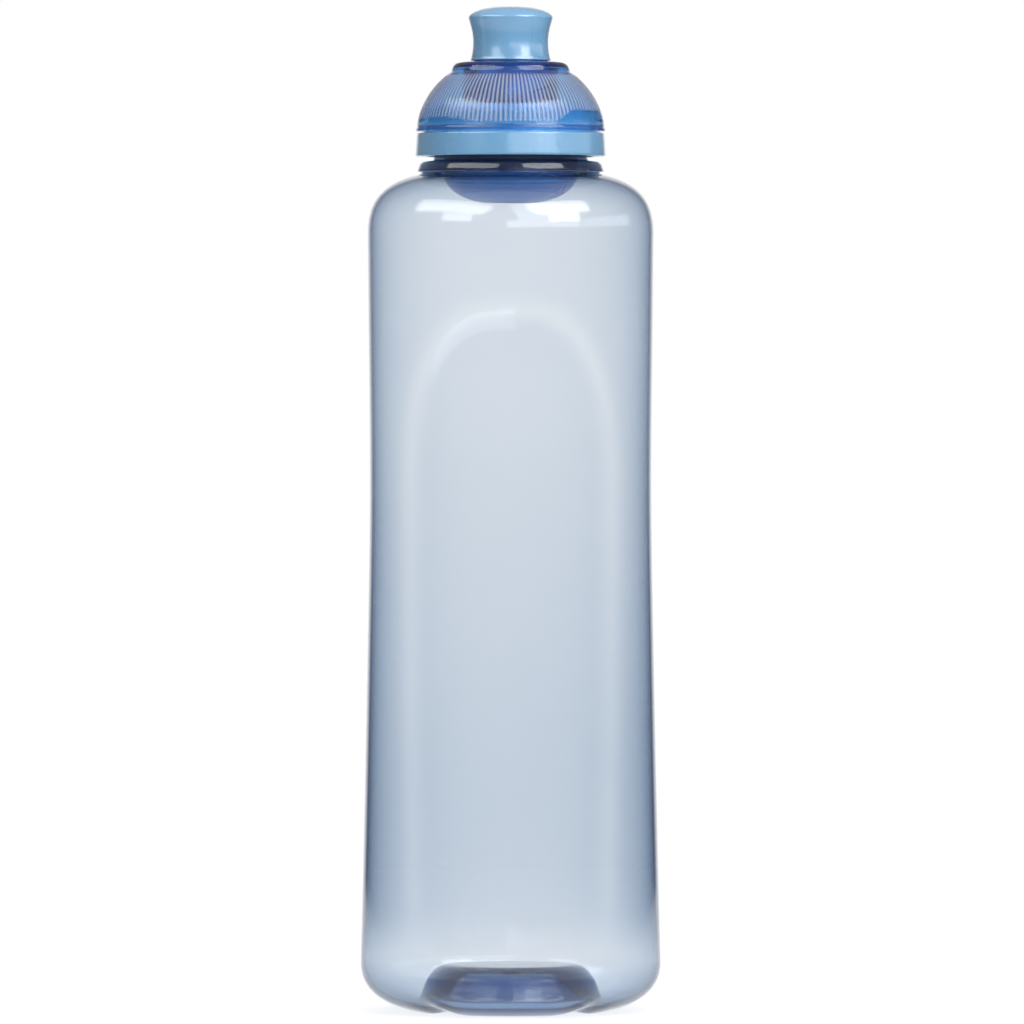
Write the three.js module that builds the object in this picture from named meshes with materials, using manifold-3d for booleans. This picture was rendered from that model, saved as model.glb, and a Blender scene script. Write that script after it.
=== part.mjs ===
// Sports squeeze bottle: a blow-moulded bottle with a screw-on twist-to-open drinking closure.
// Units are millimetres, +Z is up, and the origin is on the axis at the standing surface.
// The front of the bottle faces -Y.
import * as THREE from 'three';
import { mergeVertices } from 'three/addons/utils/BufferGeometryUtils.js';
import Module from 'manifold-3d';

const wasm = await Module();
wasm.setup();

const FULL_TURN = 2 * Math.PI;
const CLEARANCE = 0.35; // running gap left between neighbouring pieces

// ---- Driving dimensions ---------------------------------------------------------------------

const SEGMENTS = { bottle: 44, closure: 40, dome: 40, mouthpiece: 32, ring: 28 };

const BOTTLE = {
  ringInner: 19.2, // the flat ring that the bottle stands on
  ringOuter: 21.4,
  heelRadius: 33.8,
  heelTop: 10.6,
  waistRadius: 31.67,
  waistHeight: 117.3,
  shoulderRadius: 32.15,
  shoulderStart: 175,
  wall: 1.0,
  pushUpRadius: 13.2, // the dish under the base
  pushUpHeight: 8.7,
  pushUpThickness: 2.6,
};

const NECK = {
  bore: 15.5,
  wallRadius: 17.4,
  threadRadius: 18.3,
  base: 191.3, // where the plain neck rises from its bead
  rim: 201.0,
  beadRadius: 20.95,
  beadBottom: 188.8,
  shoulderTop: 188.35,
};

const PANEL = {
  depth: 1.2, // how far the arched grip panels lie below the wall around them
  halfWidth: 22.9,
  footHalfWidth: 22.2,
  springHeight: 112, // where the arch begins to turn in
  crown: 158,
  foot: 9, // the panel runs out into the heel here
};

const THREAD = {
  lead: 8.0, // rise in one turn
  starts: 2,
  baseHeight: 1.7,
  crestHeight: 0.8,
  sweep: 0.6 * FULL_TURN,
  bottleStart: 193.9,
  closureStart: 192.55,
};

const COLLAR = {
  bottom: 192.3,
  top: 197.6,
  bottomRadius: 21.43,
  topRadius: 21.1,
  threadRoot: NECK.threadRadius + CLEARANCE,
  threadCrest: NECK.wallRadius + CLEARANCE,
  sleeveRadius: 19.4, // the hidden wall that carries the dome
  beadRadius: 20.0, // the ring that the dome snaps over
  beadHeight: 199.3,
  deckBottom: 202.6,
  deckTop: 203.9,
  deckRadius: 17.85,
  trackDepth: 0.32, // the sunk track that the dome's pointer travels in
  trackEnd: THREE.MathUtils.degToRad(-206),
};

// The insert under the deck, which plugs the neck and ends in a bowl with a hole in the middle.
const PLUG = {
  outer: NECK.bore - CLEARANCE,
  thickness: 1.05,
  top: 202.3,
  bowlTop: 188.5,
  bottom: 182.0,
  hole: 4.2,
};

const SEAL = { bottom: 201.3, top: 202.3, inner: PLUG.outer + CLEARANCE, outer: 17.45 };

const CHIMNEY = {
  bore: 4.0,
  lowerRadius: 6.1,
  upperRadius: 5.5,
  step: 212.0,
  top: 219.6,
  grooveHeight: 217.4,
  grooveRadius: 4.5,
  grooveHalfHeight: 0.75,
  keyRadius: 6.9,
  keyWidth: 1.6,
  keyTop: 211.4,
};

const PIN = {
  stemRadius: 1.6,
  headRadius: 2.05,
  headBottom: 222.4,
  top: 225.75,
  spokeWidth: 1.4,
  spokeBottom: 203.2,
  spokeTop: 205.0,
};

const O_RING = { radius: 5.225, section: 0.425 };

const DOME = {
  bottom: 197.9,
  bottomRadius: 21.32,
  kinkRadius: 13.4,
  kink: 211.4,
  capRadius: 13.1,
  top: 213.5,
  wall: 1.0,
  topThickness: 1.3,
  lipRadius: 19.75, // snaps under the collar's bead
  lipTop: 198.7,
  grooveRadius: 20.35,
  grooveTop: 199.9,
  hole: 8.65,
  sleeveRadius: 10.75,
  sleeveBottom: 204.7,
  pointerWidth: 10, // the tongue on the lower edge that points to closed or open
  pointerDepth: 0.3,
  pointerAngle: THREE.MathUtils.degToRad(-82),
};

const POINTER_HALF_ANGLE = DOME.pointerWidth / 2 / DOME.bottomRadius;

// The dome's turn from closed to open, and how far the mouthpiece rises with it.
const TWIST = { angle: Math.PI / 2, rise: 4.0 };

const MOUTHPIECE = {
  hole: 2.4,
  top: 226,
  lipRadius: 9.5,
  lipHeight: 223.4,
  waistRadius: 8.48,
  waistHeight: 217.9,
  footRadius: 9.05,
  footHeight: 213.85,
  skirtRadius: 8.3,
  skirtBottom: 204.6,
  keyedBore: 6.5,
  sealBore: 5.95,
  sealBoreBottom: 212.6,
  sealBoreTop: 221.5,
  ceiling: 222.9,
};

const LUG = { count: 3, radius: 9.35, width: 2.4, height: 1.5, centre: 206.6 };

// ---- Solids ---------------------------------------------------------------------------------

/** A closed three.js geometry as a manifold solid. */
function toSolid(geometry) {
  const plain = geometry.clone();
  plain.deleteAttribute('normal');
  plain.deleteAttribute('uv');
  const merged = mergeVertices(plain, 1e-4);
  const index = merged.index.array;
  const triangles = [];
  for (let i = 0; i < index.length; i += 3) {
    const [a, b, c] = [index[i], index[i + 1], index[i + 2]];
    if (a !== b && b !== c && c !== a) triangles.push(a, b, c);
  }
  return new wasm.Manifold(new wasm.Mesh({
    numProp: 3,
    vertProperties: new Float32Array(merged.attributes.position.array),
    triVerts: new Uint32Array(triangles),
  }));
}

/** A manifold solid as a three.js geometry. */
function toGeometry(solid) {
  const mesh = solid.getMesh();
  const geometry = new THREE.BufferGeometry();
  geometry.setAttribute('position', new THREE.BufferAttribute(new Float32Array(mesh.vertProperties), 3));
  geometry.setIndex(new THREE.BufferAttribute(new Uint32Array(mesh.triVerts), 1));
  geometry.computeVertexNormals();
  return geometry;
}

/** A solid of revolution. The outline is (radius, height), anticlockwise, and closes on itself. */
function revolve(outline, segments) {
  const points = [...outline, outline[0]];
  const geometry = new THREE.LatheGeometry(points, segments);
  geometry.rotateX(Math.PI / 2);
  return toSolid(geometry);
}

/** A solid through a row of closed loops of equal length, capped at both ends.
 *  Seen from the first loop's outer side, each loop runs anticlockwise. */
function loft(loops) {
  const size = loops[0].length;
  const positions = loops.flat().flatMap((p) => [p.x, p.y, p.z]);
  const triangles = [];
  for (let i = 0; i + 1 < loops.length; i++) {
    for (let j = 0; j < size; j++) {
      const a = i * size + j;
      const b = i * size + (j + 1) % size;
      triangles.push(a, b + size, b, a, a + size, b + size);
    }
  }
  const last = (loops.length - 1) * size;
  for (let j = 1; j + 1 < size; j++) {
    triangles.push(0, j, j + 1);
    triangles.push(last, last + j + 1, last + j);
  }
  const geometry = new THREE.BufferGeometry();
  geometry.setAttribute('position', new THREE.Float32BufferAttribute(positions, 3));
  geometry.setIndex(triangles);
  return toSolid(geometry);
}

/** A point given by its radius, angle about the axis and height. */
function polar(radius, angle, height) {
  return new THREE.Vector3(radius * Math.cos(angle), radius * Math.sin(angle), height);
}

/** A bar of four-sided section that climbs a helix. section(t) gives its (radius, height) corners. */
function helix({ start, sweep, lead, height, stepAngle, section }) {
  const steps = Math.ceil(sweep / stepAngle);
  const loops = [];
  for (let i = 0; i <= steps; i++) {
    const t = i / steps;
    const angle = start + sweep * t;
    const rise = height + lead * sweep * t / FULL_TURN;
    loops.push(section(t).map(([radius, offset]) => polar(radius, angle, rise + offset)));
  }
  return loft(loops);
}

/** A box between two radii, centred on an angle about the axis. */
function radialBlock({ inner, outer, width, bottom, top, angle }) {
  const geometry = new THREE.BoxGeometry(outer - inner, width, top - bottom);
  geometry.translate((inner + outer) / 2, 0, (bottom + top) / 2);
  geometry.rotateZ(angle);
  return toSolid(geometry);
}

/** The angles of evenly spaced repeats about the axis. */
function around(count, first = 0) {
  return Array.from({ length: count }, (_, i) => first + i * FULL_TURN / count);
}

function point(radius, height) {
  return new THREE.Vector2(radius, height);
}

function bezier(steps, ...corners) {
  return new THREE.CubicBezierCurve(...corners).getPoints(steps);
}

function spline(steps, ...knots) {
  return new THREE.SplineCurve(knots).getPoints(steps);
}

// ---- Screw threads --------------------------------------------------------------------------

/** The ridges of a screw thread, from a root cylinder to a crest, running out at both ends. */
function threadRidges({ root, crest, height, segments }) {
  const outward = Math.sign(crest - root);
  const buried = root - outward * 0.3;
  const runOut = 0.12; // share of the sweep over which an end fades
  const ridges = around(THREAD.starts).map((start) => helix({
    start,
    sweep: THREAD.sweep,
    lead: THREAD.lead,
    height,
    stepAngle: FULL_TURN / segments,
    section: (t) => {
      const fade = Math.min(1, 0.15 + Math.min(t, 1 - t) / runOut);
      const tip = root + (crest - root) * fade;
      const corners = [
        [buried, -THREAD.baseHeight / 2],
        [tip, -THREAD.crestHeight / 2],
        [tip, THREAD.crestHeight / 2],
        [buried, THREAD.baseHeight / 2],
      ];
      return outward > 0 ? corners : corners.reverse();
    },
  }));
  return ridges.reduce((all, ridge) => all.add(ridge));
}

// ---- Bottle ---------------------------------------------------------------------------------

/** The side of the bottle from the heel to the shoulder, moved in by an inset. A dent lies deeper,
 *  and runs out at the heel. */
function sideCurve(inset, steps, dent = 0) {
  const side = inset + dent;
  return spline(
    steps,
    point(BOTTLE.heelRadius - inset, BOTTLE.heelTop + inset),
    point(33.15 - side, 36),
    point(32.28 - side, 77),
    point(BOTTLE.waistRadius - side, BOTTLE.waistHeight),
    point(32.0 - side, 158),
    point(BOTTLE.shoulderRadius - side, BOTTLE.shoulderStart),
  );
}

/** The bottle up to its shoulder, moved in by an inset, with its side dented, closed along the axis. */
function bottleOutline(inset, dent = 0) {
  return [
    point(0, inset),
    point(BOTTLE.ringOuter - inset, inset),
    ...bezier(
      6,
      point(BOTTLE.ringOuter, inset),
      point(28.2 - inset, 1.3 + inset),
      point(33.6 - inset, 4.3 + inset),
      point(BOTTLE.heelRadius - inset, BOTTLE.heelTop + inset),
    ).slice(1, -1),
    ...sideCurve(inset, 6, dent),
    ...bezier(
      7,
      point(BOTTLE.shoulderRadius - inset - dent, BOTTLE.shoulderStart),
      point(BOTTLE.shoulderRadius - inset - dent, 182.6 - inset / 2),
      point(28.8, 186.4 - inset),
      point(20.3, NECK.shoulderTop - inset),
    ).slice(1),
    point(0, NECK.shoulderTop - inset),
  ];
}

/** The neck above the shoulder: bead, plain wall and rim, closed along the axis. */
function neckOutline() {
  return [
    point(0, NECK.shoulderTop - 1),
    point(20.2, NECK.shoulderTop - 1),
    point(20.2, NECK.beadBottom),
    point(NECK.beadRadius - 0.2, NECK.beadBottom),
    ...bezier(
      5,
      point(NECK.beadRadius, NECK.beadBottom + 0.15),
      point(21.4, 190.4),
      point(19.8, NECK.base - 0.05),
      point(NECK.wallRadius, NECK.base),
    ),
    point(NECK.wallRadius, NECK.rim - 0.4),
    point(NECK.wallRadius - 0.4, NECK.rim),
    point(0, NECK.rim),
  ];
}

/** The hollow inside, from the raised base to the mouth. The wall thickens towards the neck. */
function cavityOutline() {
  const inner = BOTTLE.wall;
  return [
    point(0, BOTTLE.pushUpHeight + BOTTLE.pushUpThickness),
    point(BOTTLE.pushUpRadius - 0.4, BOTTLE.pushUpHeight + BOTTLE.pushUpThickness),
    point(BOTTLE.pushUpRadius + 1.8, BOTTLE.pushUpHeight + 1.7),
    point(19.7, 3.6),
    point(21.2, 2.3),
    ...bezier(
      5,
      point(22.4, 1.9),
      point(28.4, 2.8),
      point(32.5, 5.8),
      point(BOTTLE.heelRadius - inner, BOTTLE.heelTop + inner),
    ).slice(0, -1),
    ...sideCurve(inner, 6),
    ...bezier(
      6,
      point(BOTTLE.shoulderRadius - inner, BOTTLE.shoulderStart),
      point(BOTTLE.shoulderRadius - inner, 182.2),
      point(27.8, 185.6),
      point(18.2, 186.2),
    ).slice(1),
    point(NECK.bore + 0.6, 187.2),
    point(NECK.bore, 188.8),
    point(NECK.bore, NECK.rim + 1),
    point(0, NECK.rim + 1),
  ];
}

/** The dish that lifts the middle of the base off the standing surface. */
function pushUpOutline() {
  return [
    point(0, -1),
    point(BOTTLE.ringInner + 0.6, -1),
    point(BOTTLE.ringInner, 0),
    point(17.7, 1.1),
    point(BOTTLE.pushUpRadius + 0.6, 7.6),
    point(BOTTLE.pushUpRadius - 0.6, 8.5),
    point(0, BOTTLE.pushUpHeight),
  ];
}

/** An upright bar with the arched outline of the grip panel, through the front and the back. */
function panelBar(spread) {
  const outline = new THREE.Shape();
  const foot = PANEL.footHalfWidth + spread;
  const side = PANEL.halfWidth + spread;
  const crown = PANEL.crown + spread;
  outline.moveTo(-foot, PANEL.foot);
  outline.lineTo(foot, PANEL.foot);
  outline.quadraticCurveTo(side, 70, side, PANEL.springHeight);
  outline.bezierCurveTo(side, 146 + spread, 17, crown, 0, crown);
  outline.bezierCurveTo(-17, crown, -side, 146 + spread, -side, PANEL.springHeight);
  outline.quadraticCurveTo(-side, 70, -foot, PANEL.foot);
  const depth = 2 * BOTTLE.heelRadius + 10;
  const geometry = new THREE.ExtrudeGeometry(outline, { depth, bevelEnabled: false, curveSegments: 8 });
  geometry.rotateX(Math.PI / 2);
  geometry.translate(0, depth / 2, 0);
  return toSolid(geometry);
}

/** What the two grip panels take off a bottle-shaped solid whose surface lies at an inset. */
function panelCut(inset) {
  const floor = revolve(bottleOutline(inset, PANEL.depth), SEGMENTS.bottle);
  return panelBar(inset).subtract(floor);
}

/** Where a panel's edges run out, each leaves a shallow groove across the heel. */
function heelNotches() {
  const quarter = THREE.MathUtils.degToRad(42);
  const angles = [quarter, Math.PI - quarter, Math.PI + quarter, -quarter].map((a) => a + Math.PI / 2);
  return angles.map((angle) => {
    const geometry = new THREE.CylinderGeometry(6, 6, 30, 24);
    geometry.rotateZ(Math.PI / 2 + 0.09);
    geometry.translate(31, 0, -4.35);
    geometry.rotateZ(angle);
    return toSolid(geometry);
  }).reduce((all, notch) => all.add(notch));
}

function bottleBody() {
  const segments = SEGMENTS.bottle;
  const outside = revolve(bottleOutline(0), segments).subtract(panelCut(0));
  const inside = revolve(cavityOutline(), segments).subtract(panelCut(BOTTLE.wall));
  const thread = threadRidges({
    root: NECK.wallRadius,
    crest: NECK.threadRadius,
    height: THREAD.bottleStart,
    segments: 36,
  });
  return outside
    .add(revolve(neckOutline(), segments))
    .add(thread)
    .subtract(revolve(pushUpOutline(), segments))
    .subtract(heelNotches())
    .subtract(inside);
}

// ---- Closure --------------------------------------------------------------------------------

/** The closure base in section: collar, hidden wall, deck and chimney. */
function closureOutline() {
  const grooveLow = CHIMNEY.grooveHeight - CHIMNEY.grooveHalfHeight;
  const grooveHigh = CHIMNEY.grooveHeight + CHIMNEY.grooveHalfHeight;
  return [
    point(COLLAR.threadRoot + 0.4, COLLAR.bottom),
    point(COLLAR.bottomRadius - 0.3, COLLAR.bottom),
    point(COLLAR.bottomRadius, COLLAR.bottom + 0.3),
    point(COLLAR.topRadius, COLLAR.top),
    point(COLLAR.sleeveRadius, COLLAR.top),
    point(COLLAR.sleeveRadius, COLLAR.beadHeight - 0.4),
    point(COLLAR.beadRadius, COLLAR.beadHeight - 0.15),
    point(COLLAR.beadRadius, COLLAR.beadHeight + 0.1),
    point(COLLAR.sleeveRadius, COLLAR.beadHeight + 0.5),
    point(COLLAR.deckRadius + 1.05, 201.4),
    point(COLLAR.deckRadius, COLLAR.deckTop),
    point(CHIMNEY.lowerRadius, COLLAR.deckTop),
    point(CHIMNEY.lowerRadius, CHIMNEY.step),
    point(CHIMNEY.upperRadius, CHIMNEY.step + 0.3),
    point(CHIMNEY.upperRadius, grooveLow),
    point(CHIMNEY.grooveRadius, grooveLow),
    point(CHIMNEY.grooveRadius, grooveHigh),
    point(CHIMNEY.upperRadius, grooveHigh),
    point(CHIMNEY.upperRadius, CHIMNEY.top - 0.4),
    point(CHIMNEY.upperRadius - 0.4, CHIMNEY.top),
    point(CHIMNEY.bore, CHIMNEY.top),
    point(CHIMNEY.bore, COLLAR.deckBottom),
    point(COLLAR.threadCrest + 0.05, COLLAR.deckBottom),
    point(COLLAR.threadCrest + 0.05, 200.6),
    point(COLLAR.threadRoot, 200.0),
    point(COLLAR.threadRoot, COLLAR.bottom + 0.5),
  ];
}

/** The pin that plugs the drinking hole, from its spokes up to its round tip. */
function pinOutline() {
  return [
    point(0, PIN.spokeBottom),
    point(PIN.stemRadius, PIN.spokeBottom),
    point(PIN.stemRadius, PIN.headBottom - 0.5),
    point(PIN.headRadius, PIN.headBottom),
    point(PIN.headRadius, PIN.top - 0.5),
    point(PIN.headRadius - 0.7, PIN.top - 0.1),
    point(0, PIN.top),
  ];
}

/** The sunk track in the collar's top edge, from under the closed pointer clockwise past open. */
function pointerTrack() {
  const bottom = -COLLAR.trackDepth;
  return helix({
    start: COLLAR.trackEnd,
    sweep: DOME.pointerAngle + 1.3 * POINTER_HALF_ANGLE - COLLAR.trackEnd,
    lead: 0,
    height: COLLAR.top,
    stepAngle: FULL_TURN / SEGMENTS.closure,
    section: () => [
      [COLLAR.sleeveRadius + 0.2, bottom],
      [COLLAR.bottomRadius + 1, bottom],
      [COLLAR.bottomRadius + 1, 1],
      [COLLAR.sleeveRadius + 0.2, 1],
    ],
  });
}

function closureBase() {
  const segments = SEGMENTS.closure;
  let solid = revolve(closureOutline(), segments).add(revolve(pinOutline(), 20));
  solid = solid.add(threadRidges({
    root: COLLAR.threadRoot,
    crest: COLLAR.threadCrest,
    height: THREAD.closureStart,
    segments: 36,
  }).intersect(closureEnvelope()));
  for (const angle of around(3, Math.PI / 2)) {
    solid = solid.add(radialBlock({
      inner: PIN.stemRadius - 0.6,
      outer: CHIMNEY.bore + 0.5,
      width: PIN.spokeWidth,
      bottom: PIN.spokeBottom,
      top: PIN.spokeTop,
      angle,
    }));
    solid = solid.add(radialBlock({
      inner: CHIMNEY.lowerRadius - 0.5,
      outer: CHIMNEY.keyRadius,
      width: CHIMNEY.keyWidth,
      bottom: COLLAR.deckTop - 0.5,
      top: CHIMNEY.keyTop,
      angle,
    }));
  }
  return solid.subtract(pointerTrack());
}

/** Keeps the closure's thread inside its collar, above the lower edge. */
function closureEnvelope() {
  return revolve([
    point(0, COLLAR.bottom + 0.5),
    point(COLLAR.sleeveRadius, COLLAR.bottom + 0.5),
    point(COLLAR.sleeveRadius, COLLAR.deckBottom),
    point(0, COLLAR.deckBottom),
  ], 24);
}

function neckSeal() {
  return revolve([
    point(SEAL.inner, SEAL.bottom),
    point(SEAL.outer, SEAL.bottom),
    point(SEAL.outer, SEAL.top),
    point(SEAL.inner, SEAL.top),
  ], SEGMENTS.closure);
}

/** The insert that plugs the neck. Drink goes through the hole in its bowl. */
function neckPlug() {
  const inner = PLUG.outer - PLUG.thickness;
  const floor = PLUG.bottom + PLUG.thickness;
  return revolve([
    point(PLUG.hole, PLUG.bottom),
    ...bezier(
      6,
      point(6.2, PLUG.bottom),
      point(11.6, 182.8),
      point(14.6, 185.2),
      point(PLUG.outer, PLUG.bowlTop),
    ),
    point(PLUG.outer, PLUG.top),
    point(inner, PLUG.top),
    ...bezier(
      6,
      point(inner, PLUG.bowlTop),
      point(13.7, 186.0),
      point(11.0, 183.8),
      point(6.2, floor),
    ),
    point(PLUG.hole, floor),
  ], SEGMENTS.closure);
}

function spoutRing() {
  const geometry = new THREE.TorusGeometry(O_RING.radius, O_RING.section, 6, SEGMENTS.ring);
  geometry.translate(0, 0, CHIMNEY.grooveHeight);
  return toSolid(geometry);
}

// ---- Dome -----------------------------------------------------------------------------------

function domeOutline() {
  const { wall, topThickness } = DOME;
  return [
    point(DOME.lipRadius, DOME.bottom),
    point(DOME.bottomRadius, DOME.bottom),
    ...bezier(
      8,
      point(DOME.bottomRadius, DOME.bottom + 0.1),
      point(20.8, 203.3),
      point(18.0, 208.2),
      point(DOME.kinkRadius, DOME.kink),
    ),
    point(DOME.capRadius, 212.4),
    point(12.5, 213.1),
    point(11.7, DOME.top),
    point(DOME.hole, DOME.top),
    point(DOME.hole, DOME.sleeveBottom),
    point(DOME.sleeveRadius, DOME.sleeveBottom),
    point(DOME.sleeveRadius, DOME.top - topThickness),
    point(11.6, DOME.top - topThickness),
    point(12.2, 211.0),
    ...bezier(
      7,
      point(12.6, 210.7),
      point(16.8, 207.8),
      point(19.2, 203.6),
      point(20.0, DOME.grooveTop + 0.5 * wall),
    ),
    point(DOME.grooveRadius, DOME.grooveTop),
    point(DOME.grooveRadius, DOME.lipTop + 0.2),
    point(DOME.lipRadius, DOME.lipTop),
  ];
}

/** The tongue on the dome's lower edge, which points to closed and open. */
function domePointer() {
  const inner = COLLAR.sleeveRadius + 0.55;
  return helix({
    start: DOME.pointerAngle - POINTER_HALF_ANGLE,
    sweep: 2 * POINTER_HALF_ANGLE,
    lead: 0,
    height: DOME.bottom,
    stepAngle: POINTER_HALF_ANGLE / 4,
    section: (t) => {
      const drop = 0.02 + (DOME.pointerDepth - 0.02) * Math.sin(Math.PI * t) ** 2;
      const outer = DOME.bottomRadius - 0.1;
      return [[inner, -drop], [outer, -drop], [outer, 0.3], [inner, 0.3]];
    },
  });
}

/** The cam groove in the dome's sleeve that each lug of the mouthpiece climbs. */
function camGroove(angle) {
  const halfAngle = (LUG.width / 2 + CLEARANCE) / LUG.radius;
  const halfHeight = LUG.height / 2 + CLEARANCE;
  return helix({
    start: angle - halfAngle,
    sweep: TWIST.angle + 2 * halfAngle,
    lead: TWIST.rise * FULL_TURN / TWIST.angle,
    height: LUG.centre - halfAngle / TWIST.angle * TWIST.rise,
    stepAngle: FULL_TURN / 32,
    section: () => [
      [DOME.hole - 0.6, -halfHeight],
      [LUG.radius + CLEARANCE + 0.1, -halfHeight],
      [LUG.radius + CLEARANCE + 0.1, halfHeight],
      [DOME.hole - 0.6, halfHeight],
    ],
  });
}

function twistDome() {
  let solid = revolve(domeOutline(), SEGMENTS.dome).add(domePointer());
  for (const angle of lugAngles()) {
    solid = solid.subtract(camGroove(angle));
  }
  return solid;
}

// ---- Mouthpiece -----------------------------------------------------------------------------

function lugAngles() {
  return around(LUG.count, Math.PI / 6);
}

function mouthpieceOutline() {
  return [
    point(MOUTHPIECE.keyedBore, MOUTHPIECE.skirtBottom),
    point(MOUTHPIECE.skirtRadius, MOUTHPIECE.skirtBottom),
    point(MOUTHPIECE.skirtRadius, MOUTHPIECE.footHeight),
    ...bezier(
      5,
      point(MOUTHPIECE.footRadius, MOUTHPIECE.footHeight),
      point(8.55, 216.0),
      point(MOUTHPIECE.waistRadius, 217.0),
      point(MOUTHPIECE.waistRadius, MOUTHPIECE.waistHeight),
    ),
    ...bezier(
      5,
      point(MOUTHPIECE.waistRadius, MOUTHPIECE.waistHeight),
      point(MOUTHPIECE.waistRadius, 220.4),
      point(9.1, 221.8),
      point(MOUTHPIECE.lipRadius, MOUTHPIECE.lipHeight),
    ).slice(1),
    ...bezier(
      6,
      point(MOUTHPIECE.lipRadius, MOUTHPIECE.lipHeight),
      point(9.6, 224.6),
      point(6.6, 225.9),
      point(MOUTHPIECE.hole + 0.3, MOUTHPIECE.top),
    ).slice(1),
    point(MOUTHPIECE.hole, MOUTHPIECE.top - 0.3),
    point(MOUTHPIECE.hole, MOUTHPIECE.ceiling),
    point(MOUTHPIECE.sealBore - 1.6, MOUTHPIECE.ceiling),
    point(MOUTHPIECE.sealBore, MOUTHPIECE.sealBoreTop),
    point(MOUTHPIECE.sealBore, MOUTHPIECE.sealBoreBottom),
    point(MOUTHPIECE.keyedBore, MOUTHPIECE.sealBoreBottom),
  ];
}

function mouthpiece() {
  let solid = revolve(mouthpieceOutline(), SEGMENTS.mouthpiece);
  for (const angle of lugAngles()) {
    solid = solid.add(radialBlock({
      inner: MOUTHPIECE.skirtRadius - 0.5,
      outer: LUG.radius,
      width: LUG.width,
      bottom: LUG.centre - LUG.height / 2,
      top: LUG.centre + LUG.height / 2,
      angle,
    }));
  }
  for (const angle of around(3, Math.PI / 2)) {
    solid = solid.subtract(radialBlock({
      inner: MOUTHPIECE.keyedBore - 0.6,
      outer: CHIMNEY.keyRadius + CLEARANCE,
      width: CHIMNEY.keyWidth + 2 * CLEARANCE,
      bottom: MOUTHPIECE.skirtBottom - 1,
      top: MOUTHPIECE.sealBoreBottom,
      angle,
    }));
  }
  return solid;
}

// ---- Assembly -------------------------------------------------------------------------------

const MATERIALS = {
  bottle: new THREE.MeshStandardMaterial({
    color: 0x9fb2cc, roughness: 0.12, metalness: 0, transparent: true, opacity: 0.45,
    name: 'bottle_plastic',
  }),
  lightBlue: new THREE.MeshStandardMaterial({
    color: 0x72a8d2, roughness: 0.28, metalness: 0, name: 'light_blue_plastic',
  }),
  dome: new THREE.MeshStandardMaterial({
    color: 0x4a72ac, roughness: 0.1, metalness: 0, transparent: true, opacity: 0.7, name: 'dome_plastic',
  }),
  plug: new THREE.MeshStandardMaterial({
    color: 0x3c5482, roughness: 0.3, metalness: 0, name: 'deep_blue_plastic',
  }),
  seal: new THREE.MeshStandardMaterial({
    color: 0xd7dade, roughness: 0.6, metalness: 0, name: 'seal_rubber',
  }),
};

function piece(name, solid, material) {
  const mesh = new THREE.Mesh(toGeometry(solid), material);
  mesh.name = name;
  return mesh;
}

const bottle = new THREE.Group();
bottle.add(piece('bottle_body', bottleBody(), MATERIALS.bottle));

const closure = new THREE.Group();
closure.add(piece('neck_seal', neckSeal(), MATERIALS.seal));
closure.add(piece('neck_plug', neckPlug(), MATERIALS.plug));
closure.add(piece('closure_base', closureBase(), MATERIALS.lightBlue));
closure.add(piece('spout_oring', spoutRing(), MATERIALS.seal));
closure.add(piece('twist_dome', twistDome(), MATERIALS.dome));
closure.add(piece('mouthpiece', mouthpiece(), MATERIALS.lightBlue));

const squeezeBottle = new THREE.Group();
squeezeBottle.add(bottle, closure);

export default squeezeBottle;
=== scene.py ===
"""Sports squeeze bottle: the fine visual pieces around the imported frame.

Outlines are (radius, height, tag) points in millimetres, and become metres when a mesh is made.
The front of the bottle faces -Y. Angles are measured about +Z from +X.
"""
import math

import bpy
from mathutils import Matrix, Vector


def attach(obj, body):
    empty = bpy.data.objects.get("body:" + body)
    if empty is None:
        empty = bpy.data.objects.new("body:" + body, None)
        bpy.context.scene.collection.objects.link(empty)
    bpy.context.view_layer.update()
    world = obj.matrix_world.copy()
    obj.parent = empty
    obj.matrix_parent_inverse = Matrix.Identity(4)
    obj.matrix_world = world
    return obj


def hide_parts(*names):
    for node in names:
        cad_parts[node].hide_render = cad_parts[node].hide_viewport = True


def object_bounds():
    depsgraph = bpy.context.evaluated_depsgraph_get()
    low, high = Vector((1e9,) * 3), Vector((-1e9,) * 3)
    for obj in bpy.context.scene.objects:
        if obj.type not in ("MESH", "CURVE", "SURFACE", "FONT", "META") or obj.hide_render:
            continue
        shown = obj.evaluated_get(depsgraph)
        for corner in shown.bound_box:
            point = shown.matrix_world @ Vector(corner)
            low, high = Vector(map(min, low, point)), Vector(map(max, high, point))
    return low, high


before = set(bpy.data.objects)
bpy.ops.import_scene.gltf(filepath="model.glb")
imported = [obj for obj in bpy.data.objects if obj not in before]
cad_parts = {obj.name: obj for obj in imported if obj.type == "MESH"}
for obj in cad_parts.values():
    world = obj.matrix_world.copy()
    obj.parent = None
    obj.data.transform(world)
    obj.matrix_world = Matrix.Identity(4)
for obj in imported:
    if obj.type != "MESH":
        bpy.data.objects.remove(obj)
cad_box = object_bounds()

MM = 0.001
FULL_TURN = 2 * math.pi
CLEARANCE = 0.35

# ---- Driving dimensions, in millimetres -----------------------------------------------------

COLUMNS = {"bottle": 256, "closure": 240, "dome": 720, "mouthpiece": 180, "ring": 160, "pin": 48}

RING_INNER, RING_OUTER = 19.2, 21.4
HEEL_RADIUS, HEEL_TOP = 33.8, 10.6
WAIST_RADIUS, WAIST_HEIGHT = 31.67, 117.3
SHOULDER_RADIUS, SHOULDER_START, SHOULDER_TOP = 32.15, 175.0, 188.35
WALL = 1.0
DISH_HEIGHT, DISH_THICKNESS = 8.7, 1.8

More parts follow.
